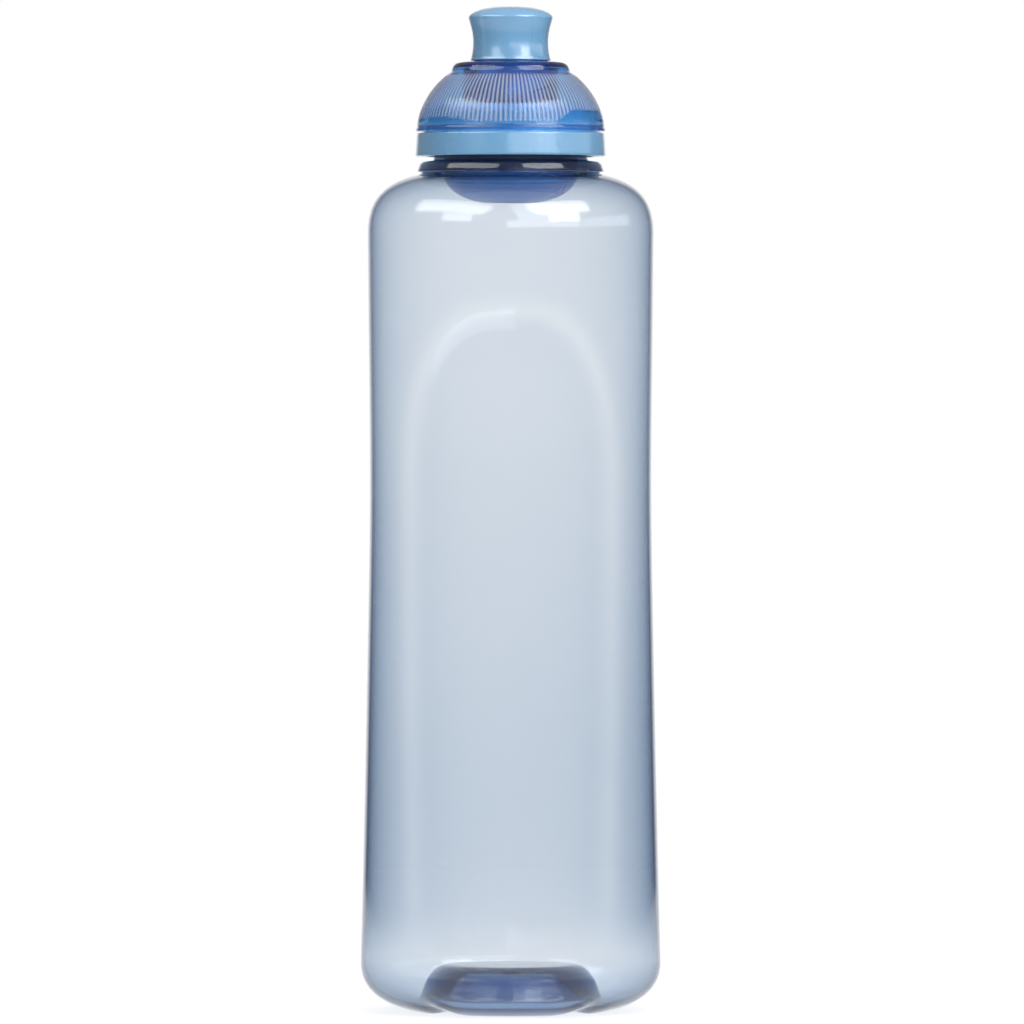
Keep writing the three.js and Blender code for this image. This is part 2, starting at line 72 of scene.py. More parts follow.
NECK_BORE, NECK_WALL, NECK_THREAD = 15.5, 17.4, 18.3
NECK_BASE, NECK_RIM = 191.3, 201.0
BEAD_RADIUS, BEAD_BOTTOM = 20.95, 188.8

PANEL_DEPTH, PANEL_BAND = 0.14, 4.6
PANEL_HALF_WIDTH, PANEL_FOOT_HALF_WIDTH = 22.9, 22.2
PANEL_SPRING, PANEL_CROWN = 112.0, 158.0
PANEL_FLOOR_EXTRA, PANEL_EDGE_THINNER, LOWER_WALL_EXTRA = 0.11, 0.28, 0.55
PANEL_RUN_OUT = (9.0, 30.0)  # the panel fades out towards the heel between these heights

NOTCH_ANGLE = math.radians(42)  # from the front and the back
NOTCH_RISE, NOTCH_HALF_WIDTH = 0.9, 3.0

THREAD_LEAD, THREAD_STARTS, THREAD_SWEEP = 8.0, 2, 0.6 * FULL_TURN
THREAD_BASE, THREAD_CREST = 1.7, 0.8
BOTTLE_THREAD_START, CLOSURE_THREAD_START = 193.9, 192.55

COLLAR_BOTTOM, COLLAR_TOP = 192.3, 197.6
COLLAR_BOTTOM_RADIUS, COLLAR_TOP_RADIUS = 21.43, 21.1
THREAD_ROOT, THREAD_TIP = NECK_THREAD + CLEARANCE, NECK_WALL + CLEARANCE
SLEEVE_RADIUS, SNAP_RADIUS, SNAP_HEIGHT = 19.4, 20.0, 199.3
DECK_BOTTOM, DECK_TOP, DECK_RADIUS = 202.6, 203.9, 17.85
TRACK_DEPTH = 0.32

PLUG_OUTER, PLUG_THICKNESS, PLUG_HOLE = NECK_BORE - CLEARANCE, 1.05, 4.2
PLUG_TOP, PLUG_BOWL_TOP, PLUG_BOTTOM = 202.3, 188.5, 182.0

SEAL_BOTTOM, SEAL_TOP, SEAL_INNER, SEAL_OUTER = 201.3, 202.3, NECK_BORE, 17.45
O_RING_RADIUS, O_RING_SECTION = 5.225, 0.425

CHIMNEY_BORE, CHIMNEY_LOWER, CHIMNEY_UPPER = 4.0, 6.1, 5.5
CHIMNEY_STEP, CHIMNEY_TOP = 212.0, 219.6
GROOVE_HEIGHT, GROOVE_RADIUS, GROOVE_HALF_HEIGHT = 217.4, 4.5, 0.75
KEY_RADIUS, KEY_WIDTH, KEY_TOP = 6.9, 1.6, 211.4
KEY_ANGLES = [math.pi / 2 + i * FULL_TURN / 3 for i in range(3)]

PIN_STEM, PIN_HEAD, PIN_HEAD_BOTTOM, PIN_TOP = 1.6, 2.05, 222.4, 225.75
SPOKE_WIDTH, SPOKE_BOTTOM, SPOKE_TOP = 1.4, 203.2, 205.0

DOME_BOTTOM, DOME_RADIUS, DOME_TOP = 197.9, 21.32, 213.5
DOME_KINK_RADIUS, DOME_KINK, DOME_CAP_RADIUS = 13.4, 211.4, 13.1
DOME_LIP, DOME_LIP_TOP, DOME_GROOVE, DOME_GROOVE_TOP = 19.75, 198.7, 20.35, 199.9
DOME_HOLE, DOME_SLEEVE, DOME_SLEEVE_BOTTOM = 8.65, 10.75, 204.7
RIB_COUNT, RIB_DEPTH, RIB_TOP = 120, 0.05, 210.9
POINTER_ANGLE, POINTER_WIDTH, POINTER_DEPTH = math.radians(-82), 10.0, 0.3
POINTER_HALF_ANGLE = POINTER_WIDTH / 2 / DOME_RADIUS
TRACK_FROM, TRACK_TO = math.radians(-206), POINTER_ANGLE + 1.3 * POINTER_HALF_ANGLE

TWIST_ANGLE, TWIST_RISE = math.pi / 2, 4.0

SPOUT_HOLE, SPOUT_TOP, SPOUT_LIP, SPOUT_LIP_HEIGHT = 2.4, 226.0, 9.5, 223.4
SPOUT_WAIST, SPOUT_WAIST_HEIGHT, SPOUT_FOOT, SPOUT_FOOT_HEIGHT = 8.48, 217.9, 9.05, 213.85
SKIRT_RADIUS, SKIRT_BOTTOM, KEYED_BORE = 8.3, 204.6, 6.5
SEAL_BORE, SEAL_BORE_BOTTOM, SEAL_BORE_TOP, SPOUT_CEILING = 5.95, 212.6, 221.5, 222.9
LUG_RADIUS, LUG_WIDTH, LUG_HEIGHT, LUG_CENTRE = 9.35, 2.4, 1.5, 206.6
LUG_ANGLES = [math.pi / 6 + i * FULL_TURN / 3 for i in range(3)]

# Heights and, for the base's edge, radii between which a deeper tint starts or ends. At the neck it
# is partly the thick plastic's tint and partly painted shade; at the base and at the dome's band it
# is painted shade.
NECK_TINT_AND_SHADE_FROM = (188.45, 188.85)
BASE_SHADE_TO, BASE_SHADE_EDGE = (7.0, 8.0), (18.8, 20.2)
BAND_SHADE_FROM, BAND_SHADE_TO = (199.0, 199.8), (202.2, 203.6)

FLOOR_RADIUS, FLOOR_COLUMNS = 700, 96
CAMERA_BACK, CAMERA_HEIGHT, SENSOR_WIDTH, FRAME_WIDTH = 2300, 140, 36, 230.5
AIM_ACROSS, AIM_UP = 0.3, 0.497  # the camera's aim: millimetres towards +X, share of the height


# ---- Small helpers --------------------------------------------------------------------------

def smoothstep(low, high, x):
    t = min(1.0, max(0.0, (x - low) / (high - low)))
    return t * t * (3 - 2 * t)


def angle_between(a, b):
    """The smallest turn from one angle to another, signed."""
    return (a - b + math.pi) % FULL_TURN - math.pi


def nearest_offset(angle, angles):
    """The signed turn from the nearest of some angles."""
    return min((angle_between(angle, a) for a in angles), key=abs)


def bezier(steps, a, b, c, d):
    points = []
    for i in range(steps + 1):
        t = i / steps
        u = 1 - t
        weights = (u ** 3, 3 * u * u * t, 3 * u * t * t, t ** 3)
        points.append(tuple(
            sum(w * p[k] for w, p in zip(weights, (a, b, c, d))) for k in range(2)))
    return points


def spline(spacing, *knots):
    """A smooth curve through the knots, with points about a spacing apart."""
    points = []
    last = len(knots) - 1
    for i in range(last):
        p0, p1 = knots[max(0, i - 1)], knots[i]
        p2, p3 = knots[i + 1], knots[min(last, i + 2)]
        steps = max(1, round(math.dist(p1, p2) / spacing))
        for s in range(steps):
            t = s / steps
            points.append(tuple(
                0.5 * (2 * p1[k] + (p2[k] - p0[k]) * t
                       + (2 * p0[k] - 5 * p1[k] + 4 * p2[k] - p3[k]) * t * t
                       + (3 * p1[k] - p0[k] - 3 * p2[k] + p3[k]) * t ** 3)
                for k in range(2)))
    points.append(knots[-1])
    return points


def tagged(tag, points):
    return [(p[0], p[1], tag) for p in points]


def line(tag, a, b, spacing):
    """Points from a up to, but not at, b."""
    steps = max(1, math.ceil(math.dist(a, b) / spacing))
    return [(a[0] + (b[0] - a[0]) * i / steps, a[1] + (b[1] - a[1]) * i / steps, tag)
            for i in range(steps)]


def softened(corners, spacing=0.9, steps=4):
    """A closed outline whose corners (radius, height, rounding, tag) are rounded off.
    The tag goes with the stretch that starts at the corner."""
    count = len(corners)
    outline = []
    for i in range(count):
        r, z, size, tag = corners[i]
        here = Vector((r, z))
        before = Vector(corners[i - 1][:2])
        after = Vector(corners[(i + 1) % count][:2])
        into, out = before - here, after - here
        cut = min(size, 0.45 * into.length, 0.45 * out.length)
        start = here + into.normalized() * cut
        end = here + out.normalized() * cut
        old_tag = corners[i - 1][3]
        if cut > 0.01:
            for s in range(steps + 1):
                t = s / steps
                p = start * (1 - t) ** 2 + here * 2 * t * (1 - t) + end * t * t
                outline.append((p.x, p.y, old_tag if s <= steps // 2 else tag))
        else:
            outline.append((r, z, tag))
        following = corners[(i + 1) % count]
        next_cut = min(following[2], 0.45 * out.length)
        next_start = after - out.normalized() * next_cut
        gap = (next_start - end).length
        support = min(0.12, gap / 4)
        if gap > 0.3:
            direction = (next_start - end).normalized()
            inner = [end + direction * support, next_start - direction * support]
            steps_between = max(1, math.ceil((inner[1] - inner[0]).length / spacing))
            for s in range(steps_between + 1):
                p = inner[0].lerp(inner[1], s / steps_between)
                outline.append((p.x, p.y, tag))
    return outline


# ---- Meshes ---------------------------------------------------------------------------------

def link(name, vertices, faces):
    """A smooth-shaded object from millimetre points."""
    mesh = bpy.data.meshes.new(name)
    mesh.from_pydata([(x * MM, y * MM, z * MM) for x, y, z in vertices], [], faces)
    mesh.validate()
    mesh.polygons.foreach_set("use_smooth", [True] * len(mesh.polygons))
    mesh.update()
    item = bpy.data.objects.new(name, mesh)
    bpy.context.scene.collection.objects.link(item)
    return item


def revolved(name, outline, columns, shape=None):
    """A closed surface of revolution. The outline runs anticlockwise in (radius, height); it
    closes on itself, or starts and ends on the axis. shape moves each point by its angle."""
    on_axis = outline[0][0] < 1e-6
    rings = outline[1:-1] if on_axis else outline
    vertices = []
    for r, z, tag in rings:
        for j in range(columns):
            angle = FULL_TURN * j / columns
            radius, height = shape(r, z, tag, angle) if shape else (r, z)
            vertices.append((radius * math.cos(angle), radius * math.sin(angle), height))
    faces = []
    pairs = len(rings) - 1 if on_axis else len(rings)
    for i in range(pairs):
        low = i * columns
        high = (i + 1) % len(rings) * columns
        for j in range(columns):
            k = (j + 1) % columns
            faces.append((low + j, low + k, high + k, high + j))
    if on_axis:
        first, last = len(vertices), len(vertices) + 1
        for r, z, tag in (outline[0], outline[-1]):
            height = shape(r, z, tag, 0.0)[1] if shape else z
            vertices.append((0.0, 0.0, height))
        top = (len(rings) - 1) * columns
        for j in range(columns):
            k = (j + 1) % columns
            faces.append((first, k, j))
            faces.append((last, top + j, top + k))
    return link(name, vertices, faces)


def block(name, inner, outer, width, bottom, top, angle, rounding):
    """A bevelled bar between two radii."""
    vertices = []
    for r in (inner, outer):
        for side in (-width / 2, width / 2):
            for z in (bottom, top):
                x = r * math.cos(angle) - side * math.sin(angle)
                y = r * math.sin(angle) + side * math.cos(angle)
                vertices.append((x, y, z))
    faces = [(0, 1, 3, 2), (4, 6, 7, 5), (0, 4, 5, 1), (2, 3, 7, 6), (0, 2, 6, 4), (1, 5, 7, 3)]
    item = link(name, vertices, faces)
    bevel = item.modifiers.new("edges", "BEVEL")
    bevel.width = rounding * MM
    bevel.segments = 3
    bake_modifiers(item)
    return item


def bake_modifiers(item):
    """Replaces an object's mesh by what its modifiers make of it."""
    graph = bpy.context.evaluated_depsgraph_get()
    mesh = bpy.data.meshes.new_from_object(item.evaluated_get(graph))
    old = item.data
    item.modifiers.clear()
    item.data = mesh
    bpy.data.meshes.remove(old)


def united(item, *others):
    """Joins other closed objects to an object as one closed body."""
    for other in others:
        union = item.modifiers.new("join", "BOOLEAN")
        union.operation = "UNION"
        union.solver = "EXACT"
        union.object = other
        bake_modifiers(item)
        bpy.data.objects.remove(other)
    item.data.polygons.foreach_set("use_smooth", [True] * len(item.data.polygons))
    return item


def finish_piece(item, material, body, node):
    item.data.materials.clear()
    item.data.materials.append(material)
    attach(item, body)
    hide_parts(node)


# ---- Screw threads --------------------------------------------------------------------------

def thread_height(angle, z, start):
    """How far the screw thread stands out of its wall, from 0 to 1."""
    best = 0.0
    for i in range(THREAD_STARTS):
        turned = (angle - i * FULL_TURN / THREAD_STARTS) % FULL_TURN
        share = turned / THREAD_SWEEP
        if share > 1:
            continue
        centre = start + THREAD_LEAD * turned / FULL_TURN
        fade = smoothstep(0, 0.1, min(share, 1 - share))
        off = abs(z - centre)
        best = max(best, fade * (1 - smoothstep(THREAD_CREST / 2, THREAD_BASE / 2, off)))
    return best


# ---- Bottle ---------------------------------------------------------------------------------

def side_knots(inset):
    return [
        (HEEL_RADIUS - inset, HEEL_TOP + inset),
        (33.15 - inset, 36),
        (32.28 - inset, 77),
        (WAIST_RADIUS - inset, WAIST_HEIGHT),
        (32.0 - inset, 158),
        (SHOULDER_RADIUS - inset, SHOULDER_START),
    ]


def panel_distance(x, z):
    """How far a point lies inside the arched outline of a grip panel, seen from the front."""
    across = abs(x)
    if z <= PANEL_SPRING:
        share = smoothstep(PANEL_RUN_OUT[0], 70, z)
        return PANEL_FOOT_HALF_WIDTH + (PANEL_HALF_WIDTH - PANEL_FOOT_HALF_WIDTH) * share - across
    power = 2.75
    u = across / PANEL_HALF_WIDTH
    v = (z - PANEL_SPRING) / (PANEL_CROWN - PANEL_SPRING)
    size = (u ** power + v ** power) ** (1 / power)
    if size < 0.3:
        return PANEL_HALF_WIDTH * 0.7
    slope_x = (u / size) ** (power - 1) / PANEL_HALF_WIDTH
    slope_z = (v / size) ** (power - 1) / (PANEL_CROWN - PANEL_SPRING)
    return (1 - size) / math.hypot(slope_x, slope_z)


def panel_dent(x, z):
    depth = PANEL_DEPTH * smoothstep(*PANEL_RUN_OUT, z)
    return depth * smoothstep(-PANEL_BAND / 2, PANEL_BAND / 2, panel_distance(x, z))


def wall_change(x, z):
    """Blowing leaves the wall thinner on a panel's edge, and thicker on its floor and low down."""
    distance = panel_distance(x, z)
    fade = smoothstep(*PANEL_RUN_OUT, z)
    edge = math.exp(-(distance / 2.4) ** 2)
    panel = PANEL_FLOOR_EXTRA * smoothstep(0, 5, distance) - PANEL_EDGE_THINNER * edge
    low_down = 1 - smoothstep(30, 150, z)
    return fade * panel + LOWER_WALL_EXTRA * low_down * smoothstep(HEEL_TOP, 24, z)


def heel_notch(r, angle):
    """The rise of the shallow grooves where the panels' edges cross the heel."""
    centres = [base + side * NOTCH_ANGLE
               for base in (-math.pi / 2, math.pi / 2) for side in (-1, 1)]
    off = r * abs(nearest_offset(angle, centres))
    return NOTCH_RISE * math.exp(-(off / NOTCH_HALF_WIDTH) ** 2)


def bottle_outline():
    outer_heel = bezier(22, (RING_OUTER, 0), (28.2, 1.3), (33.6, 4.3), (HEEL_RADIUS, HEEL_TOP))
    outer_shoulder = bezier(
        34, (SHOULDER_RADIUS, SHOULDER_START), (SHOULDER_RADIUS, 182.6), (28.8, 186.4),
        (20.3, SHOULDER_TOP))
    bead = spline(
        0.25, (BEAD_RADIUS - 0.08, BEAD_BOTTOM + 0.1), (BEAD_RADIUS, BEAD_BOTTOM + 0.3),
        (20.89, 189.35), (20.78, 189.7), (20.66, 190.05), (20.5, 190.45), (20.2, 190.85),
        (19.7, 191.1), (18.9, 191.22), (NECK_WALL + 0.15, NECK_BASE))
    inner_shoulder = bezier(
        22, (19.6, 187.35), (27.9, 185.4), (SHOULDER_RADIUS - WALL, 182.2),
        (SHOULDER_RADIUS - WALL, SHOULDER_START))
    inner_heel = bezier(
        14, (HEEL_RADIUS - WALL, HEEL_TOP + WALL), (32.5, 5.8), (28.4, 2.8), (22.4, 1.9))
    dish_slope = bezier(14, (RING_INNER - 1.2, 0.8), (15.8, 2.2), (12.6, 5.6), (10.0, 8.2))
    top = DISH_HEIGHT + DISH_THICKNESS
    inner_slope = bezier(14, (14.4, top - 0.03), (17.4, top - 0.3), (18.9, 7.8), (20.2, 3.5))
    return (
        line("dish", (0, DISH_HEIGHT), (9.5, 8.5), 0.6)
        + tagged("slope", reversed(dish_slope))
        + tagged("ring", [(18.5, 0.3), (RING_INNER, 0.04), (20.0, 0), (20.8, 0)])
        + tagged("heel", outer_heel[:-1])
        + tagged("side", spline(1.25, *side_knots(0)))
        + tagged("shoulder", outer_shoulder[1:])
        + tagged("bead", [(20.15, 188.5), (20.25, BEAD_BOTTOM - 0.05), (20.5, BEAD_BOTTOM)])
        + tagged("bead", [(BEAD_RADIUS - 0.15, BEAD_BOTTOM + 0.02)])
        + tagged("bead", bead)
        + line("neck", (NECK_WALL, NECK_BASE + 0.2), (NECK_WALL, NECK_RIM - 0.5), 0.2)
        + tagged("rim", [
            (NECK_WALL, NECK_RIM - 0.45), (NECK_WALL - 0.12, NECK_RIM - 0.15),
            (NECK_WALL - 0.4, NECK_RIM), (16.4, NECK_RIM), (NECK_BORE + 0.35, NECK_RIM),
            (NECK_BORE + 0.1, NECK_RIM - 0.12), (NECK_BORE, NECK_RIM - 0.4)])
        + line("bore", (NECK_BORE, NECK_RIM - 0.9), (NECK_BORE, 189.0), 1.2)
        + tagged("bore", [(NECK_BORE + 0.1, 188.2), (NECK_BORE + 0.5, 187.65), (16.8, 187.45)])
        + tagged("inner shoulder", inner_shoulder[:-1])
        + tagged("inner side", reversed(spline(1.6, *side_knots(WALL))))
        + tagged("inner heel", inner_heel[1:])
        + tagged("inner heel", [(21.9, 2.05), (21.2, 2.35), (20.5, 2.85)])
        + tagged("inner heel", reversed(inner_slope))
        + line("inner base", (13.6, top), (1.0, top), 1.1)
        + [(0, top, "inner base")]
    )


def bottle_shape(r, z, tag, angle):
    if tag == "side":
        return r - panel_dent(r * math.cos(angle), z), z
    if tag == "inner side":
        x = r * math.cos(angle)
        return r - panel_dent(x, z) - wall_change(x, z), z
    if tag == "neck":
        return r + (NECK_THREAD - NECK_WALL) * thread_height(angle, z, BOTTLE_THREAD_START), z
    if tag in ("ring", "heel", "inner heel"):
        return r, z + heel_notch(r, angle) * (1 - smoothstep(0, 7, z)) * smoothstep(15, 19, r)
    if tag == "shoulder":
        # The mould leaves a short raised tick at the front, below the neck.
        off = abs(angle_between(angle, -math.pi / 2)) * r
        tick = (1 - smoothstep(0.2, 0.9, off)) * smoothstep(182.8, 183.4, z)
        return r + 0.22 * tick * (1 - smoothstep(185.4, 185.9, z)), z
    if tag == "dish":
        # A moulded nub and faint rays under the middle of the base.
        rays = 0.5 + 0.5 * math.cos(8 * angle)
        window = smoothstep(1.5, 3.0, r) * (1 - smoothstep(7.0, 9.0, r))
        return r, z - 0.6 * (1 - smoothstep(0.6, 1.8, r)) - 0.28 * rays ** 3 * window
    return r, z


def make_bottle(material):
    item = revolved("bottle_shell", bottle_outline(), COLUMNS["bottle"], bottle_shape)
    finish_piece(item, material, "bottle", "bottle_body")


# ---- Closure base ---------------------------------------------------------------------------

def closure_outline():
    groove_low = GROOVE_HEIGHT - GROOVE_HALF_HEIGHT
    groove_high = GROOVE_HEIGHT + GROOVE_HALF_HEIGHT
    corners = [
        (THREAD_ROOT + 0.4, COLLAR_BOTTOM, 0.15, "foot"),
        (COLLAR_BOTTOM_RADIUS, COLLAR_BOTTOM, 0.45, "collar"),
        (COLLAR_TOP_RADIUS, COLLAR_TOP, 0.4, "track"),
        (SLEEVE_RADIUS, COLLAR_TOP, 0.15, "sleeve"),
        (SLEEVE_RADIUS, SNAP_HEIGHT - 0.4, 0.1, "snap"),
        (SNAP_RADIUS, SNAP_HEIGHT - 0.15, 0.12, "snap"),
        (SNAP_RADIUS, SNAP_HEIGHT + 0.1, 0.12, "snap"),
        (DECK_RADIUS + 1.1, SNAP_HEIGHT + 0.8, 0.15, "sleeve"),
        (DECK_RADIUS + 1.1, 202.2, 0.3, "sleeve"),
        (DECK_RADIUS - 0.5, DECK_TOP, 0.5, "deck"),
        (CHIMNEY_LOWER, DECK_TOP, 0.4, "chimney"),
        (CHIMNEY_LOWER, CHIMNEY_STEP, 0.2, "step"),
        (CHIMNEY_UPPER, CHIMNEY_STEP + 0.3, 0.15, "upper"),
        (CHIMNEY_UPPER, groove_low, 0.1, "groove"),
        (GROOVE_RADIUS, groove_low, 0.15, "groove"),
        (GROOVE_RADIUS, groove_high, 0.15, "groove"),
        (CHIMNEY_UPPER, groove_high, 0.1, "upper"),
        (CHIMNEY_UPPER, CHIMNEY_TOP, 0.45, "rim"),
        (CHIMNEY_BORE, CHIMNEY_TOP, 0.25, "bore"),
        (CHIMNEY_BORE, DECK_BOTTOM, 0.4, "ceiling"),
        (THREAD_TIP + 0.05, DECK_BOTTOM, 0.25, "seat"),
        (THREAD_TIP + 0.05, 200.6, 0.2, "seat"),
        (THREAD_ROOT, 200.0, 0.2, "thread"),
        (THREAD_ROOT, COLLAR_BOTTOM + 0.5, 0.2, "foot"),
    ]
    return softened(corners, spacing=0.45)


def closure_shape(r, z, tag, angle):
    if tag == "thread":
        lower_end = smoothstep(COLLAR_BOTTOM + 0.4, COLLAR_BOTTOM + 0.8, z)
        upper_end = 1 - smoothstep(199.5, 200, z)
        depth = (THREAD_ROOT - THREAD_TIP) * thread_height(angle, z, CLOSURE_THREAD_START)
        return r - depth * lower_end * upper_end, z
    if tag == "track" and r > SLEEVE_RADIUS + 0.2:
        turned = (angle - TRACK_FROM) % FULL_TURN
        length = TRACK_TO - TRACK_FROM
        if turned < length:
            ends = smoothstep(0, 0.03, turned) * smoothstep(0, 0.03, length - turned)
            return r, z - TRACK_DEPTH * ends
    if tag == "chimney" and z < KEY_TOP:
        off = abs(nearest_offset(angle, KEY_ANGLES)) * r
        key = 1 - smoothstep(KEY_WIDTH / 2 - 0.15, KEY_WIDTH / 2, off)
        return r + (KEY_RADIUS - CHIMNEY_LOWER) * key, z
    return r, z


def make_closure(material):
    item = revolved("closure_core", closure_outline(), COLUMNS["closure"], closure_shape)
    pin_outline = (
        [(0, SPOKE_BOTTOM, "pin"), (PIN_STEM - 0.2, SPOKE_BOTTOM, "pin")]
        + line("pin", (PIN_STEM, SPOKE_BOTTOM + 0.2), (PIN_STEM, PIN_HEAD_BOTTOM - 0.5), 2)
        + tagged("pin", [(PIN_STEM + 0.05, PIN_HEAD_BOTTOM - 0.4), (PIN_HEAD, PIN_HEAD_BOTTOM)])
        + tagged("pin", bezier(10, (PIN_HEAD, PIN_TOP - 0.9), (PIN_HEAD, PIN_TOP - 0.3),
                               (1.4, PIN_TOP), (0, PIN_TOP)))
    )
    pin = revolved("pin", pin_outline, COLUMNS["pin"])
    spokes = [block("spoke", PIN_STEM - 0.6, CHIMNEY_BORE + 0.5, SPOKE_WIDTH, SPOKE_BOTTOM + 0.01,
                    SPOKE_TOP, angle, 0.15) for angle in KEY_ANGLES]
    united(item, united(pin, *spokes))
    finish_piece(item, material, "lid", "closure_base")


# ---- Plug and rings -------------------------------------------------------------------------

def make_plug(material):
    inner = PLUG_OUTER - PLUG_THICKNESS
    floor = PLUG_BOTTOM + PLUG_THICKNESS
    # The bowl below the neck, dark blue like the rest of the plug, is a dark shape put in for the
    # shade seen through the shoulder under the neck: painted shade, built as a part.
    bowl = bezier(26, (6.2, PLUG_BOTTOM), (11.6, 182.8), (14.6, 185.2), (PLUG_OUTER, PLUG_BOWL_TOP))
    hollow = bezier(22, (inner, PLUG_BOWL_TOP), (13.7, 186.0), (11.0, 183.8), (6.2, floor))
    outline = (
        tagged("hole", [(PLUG_HOLE, floor - 0.25), (PLUG_HOLE, PLUG_BOTTOM + 0.25),
                        (PLUG_HOLE + 0.07, PLUG_BOTTOM + 0.07), (PLUG_HOLE + 0.25, PLUG_BOTTOM)])
        + tagged("bowl", bowl)
        + line("skirt", (PLUG_OUTER, PLUG_BOWL_TOP + 0.8), (PLUG_OUTER, PLUG_TOP - 0.3), 1.5)
        + tagged("top", [(PLUG_OUTER, PLUG_TOP - 0.3), (PLUG_OUTER - 0.09, PLUG_TOP - 0.09),
                         (PLUG_OUTER - 0.3, PLUG_TOP), (inner + 0.3, PLUG_TOP),
                         (inner + 0.09, PLUG_TOP - 0.09), (inner, PLUG_TOP - 0.3)])
        + line("skirt", (inner, PLUG_TOP - 0.8), (inner, PLUG_BOWL_TOP + 0.6), 1.5)
        + tagged("hollow", hollow)
        + tagged("hole", [(PLUG_HOLE + 0.25, floor), (PLUG_HOLE + 0.07, floor - 0.07)])
    )
    item = revolved("neck_insert", outline, COLUMNS["ring"])
    finish_piece(item, material, "lid", "neck_plug")


def make_seal(material):
    outline = softened([
        (SEAL_INNER, SEAL_BOTTOM, 0.18, "seal"),
        (SEAL_OUTER, SEAL_BOTTOM, 0.18, "seal"),
        (SEAL_OUTER, SEAL_TOP, 0.18, "seal"),
        (SEAL_INNER, SEAL_TOP, 0.18, "seal"),
    ])
    item = revolved("neck_washer", outline, COLUMNS["ring"])
    finish_piece(item, material, "seal", "neck_seal")


def make_o_ring(material):
    outline = [
        (O_RING_RADIUS + O_RING_SECTION * math.cos(FULL_TURN * i / 24),
         GROOVE_HEIGHT + O_RING_SECTION * math.sin(FULL_TURN * i / 24), "ring")
        for i in range(24)]
    item = revolved("spout_seal_ring", outline, COLUMNS["ring"])
    finish_piece(item, material, "lid", "spout_oring")


# ---- Dome -----------------------------------------------------------------------------------

def dome_outline():
    outer = bezier(56, (DOME_RADIUS - 0.2, DOME_BOTTOM + 1.0), (20.7, 203.4), (18.0, 208.2),
                   (DOME_KINK_RADIUS, DOME_KINK))
    cap = bezier(9, (DOME_KINK_RADIUS - 0.06, DOME_KINK + 0.2), (DOME_CAP_RADIUS, 212.6),
                 (12.75, 213.35), (11.6, DOME_TOP - 0.02))
    inner = bezier(26, (12.6, 210.7), (16.8, 207.8), (19.2, 203.6), (20.0, DOME_GROOVE_TOP + 0.5))
    return (
        tagged("lower edge", [
            (DOME_LIP + 0.12, DOME_BOTTOM + 0.02), (20.3, DOME_BOTTOM),
            (DOME_RADIUS - 0.3, DOME_BOTTOM), (DOME_RADIUS - 0.09, DOME_BOTTOM + 0.04),
            (DOME_RADIUS - 0.01, DOME_BOTTOM + 0.16)])
        + tagged("rim", [
            (DOME_RADIUS, DOME_BOTTOM + 0.3), (DOME_RADIUS - 0.005, DOME_BOTTOM + 0.5),
            (DOME_RADIUS - 0.03, DOME_BOTTOM + 0.64), (DOME_RADIUS - 0.08, DOME_BOTTOM + 0.76),
            (DOME_RADIUS - 0.14, DOME_BOTTOM + 0.86)])
        + tagged("outside", outer)
        + tagged("cap", cap)
        + line("cap", (11.1, DOME_TOP), (DOME_HOLE + 0.3, DOME_TOP), 0.8)
        + tagged("cap", [(DOME_HOLE + 0.22, DOME_TOP), (DOME_HOLE + 0.05, DOME_TOP - 0.07),
                         (DOME_HOLE, DOME_TOP - 0.25)])
        + line("cam", (DOME_HOLE, DOME_TOP - 0.55), (DOME_HOLE, DOME_SLEEVE_BOTTOM + 0.1), 0.33)
        + tagged("sleeve", [(DOME_HOLE + 0.15, DOME_SLEEVE_BOTTOM), (9.7, DOME_SLEEVE_BOTTOM),
                            (DOME_SLEEVE - 0.15, DOME_SLEEVE_BOTTOM),
                            (DOME_SLEEVE, DOME_SLEEVE_BOTTOM + 0.15)])
        + line("sleeve", (DOME_SLEEVE, DOME_SLEEVE_BOTTOM + 0.3), (DOME_SLEEVE, 212.0), 1.4)
        + tagged("ceiling", [(DOME_SLEEVE + 0.05, 212.1), (10.95, 212.2), (11.6, 212.2),
                             (12.05, 212.05), (12.3, 211.5)])
        + tagged("inside", inner)
        + tagged("groove", [(20.3, DOME_GROOVE_TOP + 0.1), (DOME_GROOVE, DOME_GROOVE_TOP - 0.1),
                            (DOME_GROOVE, DOME_LIP_TOP + 0.3),
                            (DOME_GROOVE - 0.05, DOME_LIP_TOP + 0.18),
                            (DOME_LIP + 0.1, DOME_LIP_TOP + 0.02), (DOME_LIP, DOME_LIP_TOP - 0.12)])
        + tagged("lip", [(DOME_LIP, DOME_BOTTOM + 0.15)])
    )


def rib_strength(z, angle):
    """The fine ribs run from near the kink down to a foot that swings up in two sweeps. The back
    has the same sweeps as the front."""
    across = DOME_RADIUS * math.cos(angle) * (-1 if math.sin(angle) > 0 else 1)
    sweep = smoothstep(9.5, 15.5, across)
    foot = 199.4 + 2.8 * sweep + 1.2 * smoothstep(6.0, 16.0, -across)
    return smoothstep(foot, foot + 0.7, z) * (1 - smoothstep(RIB_TOP - 0.8, RIB_TOP, z))


def rib_frost(z, tag, angle):
    """How frosted the surface is, from 0 to 1: only on the ribs' crests."""
    if tag != "outside":
        return 0.0
    return rib_strength(z, angle) * (0.5 + 0.5 * math.cos(RIB_COUNT * angle)) ** 1.3


